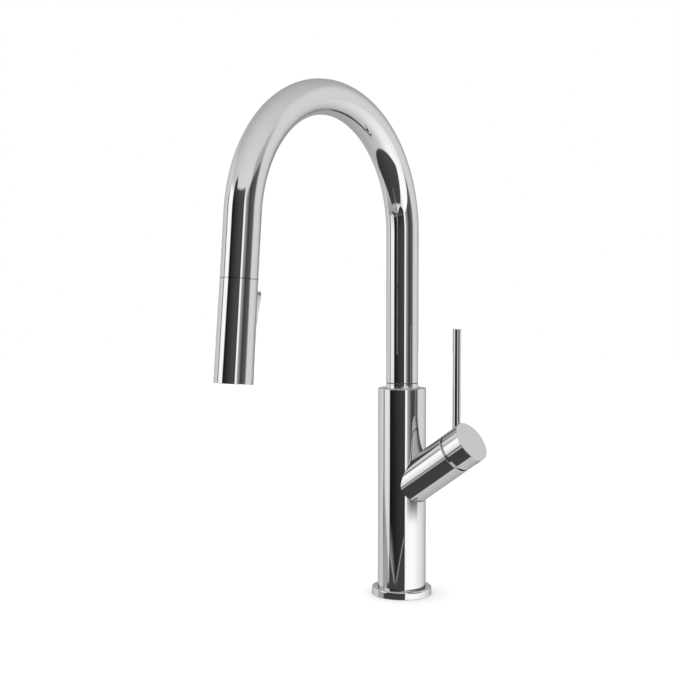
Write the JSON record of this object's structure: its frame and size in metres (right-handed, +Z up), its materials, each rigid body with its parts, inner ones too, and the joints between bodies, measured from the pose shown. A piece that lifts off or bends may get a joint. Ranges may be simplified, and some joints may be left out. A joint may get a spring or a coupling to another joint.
{
  "type": "pull down kitchen faucet",
  "caption": "Single-lever kitchen faucet in polished chrome: round column, high arc spout that swivels, pull down spray head with a toggle, and a side valve with an upright rod lever.",
  "frame": {"origin": "centre of the base's underside, where it rests on the deck", "axes": "+Z up along the column; the spout reaches towards -Y, the user's side; the lever is on the +X side, the user's right"},
  "size_m": [0.1076, 0.2601, 0.5047],
  "materials": {
    "polished_chrome": "mirror-polished chrome plate",
    "raw_brass": "machined brass, unplated",
    "copper_pipe": "drawn copper tube",
    "stainless_steel": "stainless steel",
    "nickel_magnet": "nickel-plated magnet",
    "black_rubber": "moulded rubber",
    "white_acetal": "moulded acetal",
    "grey_plastic": "moulded engineering plastic",
    "disc_ceramic": "lapped alumina",
    "braided_hose": "nylon braid over a rubber core",
    "soft_silicone": "silicone"
  },
  "bodies": {
    "root": {"base_flange": "polished_chrome", "base_gasket": "black_rubber", "mounting_shank": "raw_brass", "deck_rubber_washer": "black_rubber", "deck_steel_washer": "stainless_steel", "mounting_nut": "raw_brass", "hose_guard": "grey_plastic", "column_shell": "polished_chrome", "swivel_bushings": "white_acetal", "glide_washer": "white_acetal", "spout_set_screw": "stainless_steel", "valve_block": "raw_brass", "outlet_pipe": "copper_pipe", "outlet_spigot": "raw_brass", "valve_barrel": "polished_chrome", "cartridge_seals": "black_rubber", "cartridge_body": "grey_plastic", "fixed_disc": "disc_ceramic", "cartridge_nut": "raw_brass", "bonnet": "polished_chrome", "hose_riser": "braided_hose"},
    "carrier": {"disc_carrier": "white_acetal", "stem_pin": "stainless_steel"},
    "disc": {"moving_disc": "disc_ceramic", "disc_driver": "white_acetal"},
    "handle": {"lever_stem": "stainless_steel", "handle_cap": "polished_chrome", "lever_rod": "polished_chrome", "handle_set_screw": "stainless_steel"},
    "spout": {"spout_tube": "polished_chrome", "spout_foot_sleeve": "raw_brass", "swivel_collar": "polished_chrome", "docking_socket": "white_acetal", "docking_magnet": "nickel_magnet", "magnet_cap": "white_acetal", "hose_in_spout": "braided_hose"},
    "hose_end": {"hose_stem": "raw_brass", "hose_washer": "black_rubber", "hose_lead": "braided_hose"},
    "spray_head": {"spray_shell": "polished_chrome", "dock_plug": "grey_plastic", "head_magnet_ring": "nickel_magnet", "swivel_nut": "raw_brass", "waterway_core": "grey_plastic", "toggle_pin": "stainless_steel", "check_valve": "grey_plastic", "inlet_strainer": "stainless_steel", "nozzle_plate": "grey_plastic", "nozzle_mat": "soft_silicone", "aerator_housing": "grey_plastic", "aerator_screen": "stainless_steel", "face_seal": "black_rubber"},
    "toggle": {"toggle_paddle": "polished_chrome"},
    "diverter": {"diverter_spool": "grey_plastic"}
  },
  "joints": [
    {"name": "spout_swivel", "type": "hinge", "parent": "root", "child": "spout", "pos_m": [0, 0, 0.16], "axis": [0, 0, 1], "continuous": true},
    {"name": "spray_pull", "type": "slide", "parent": "spout", "child": "hose_end", "axis": [0, -0.0872, -0.9962], "range_m": [0, 0.185], "deforming": ["hose_lead"]},
    {"name": "head_turn", "type": "hinge", "parent": "hose_end", "child": "spray_head", "pos_m": [0, -0.21174, 0.27644], "axis": [0, -0.0872, -0.9962], "continuous": true},
    {"name": "toggle_rock", "type": "hinge", "parent": "spray_head", "child": "toggle", "pos_m": [0, -0.20159, 0.25488], "axis": [1, 0, 0], "range_deg": [0, 11]},
    {"name": "diverter_slide", "type": "slide", "parent": "spray_head", "child": "diverter", "axis": [0, -0.0872, -0.9962], "range_m": [0, 0.0022]},
    {"name": "temperature_turn", "type": "hinge", "parent": "root", "child": "carrier", "pos_m": [0.04382, 0, 0.12059], "axis": [0.8192, 0, 0.5736], "range_deg": [-45, 45]},
    {"name": "flow_tilt", "type": "hinge", "parent": "carrier", "child": "handle", "pos_m": [0.04382, 0, 0.12059], "axis": [0, 1, 0], "range_deg": [0, 20]},
    {"name": "disc_slide", "type": "slide", "parent": "carrier", "child": "disc", "axis": [-0.5736, 0, 0.8192], "range_m": [0, 0.00265]}
  ],
  "couplings": [
    {"joint": "diverter_slide", "follows": "toggle_rock", "m_per_rad": 0.0112},
    {"joint": "disc_slide", "follows": "flow_tilt", "m_per_rad": 0.0075}
  ]
}
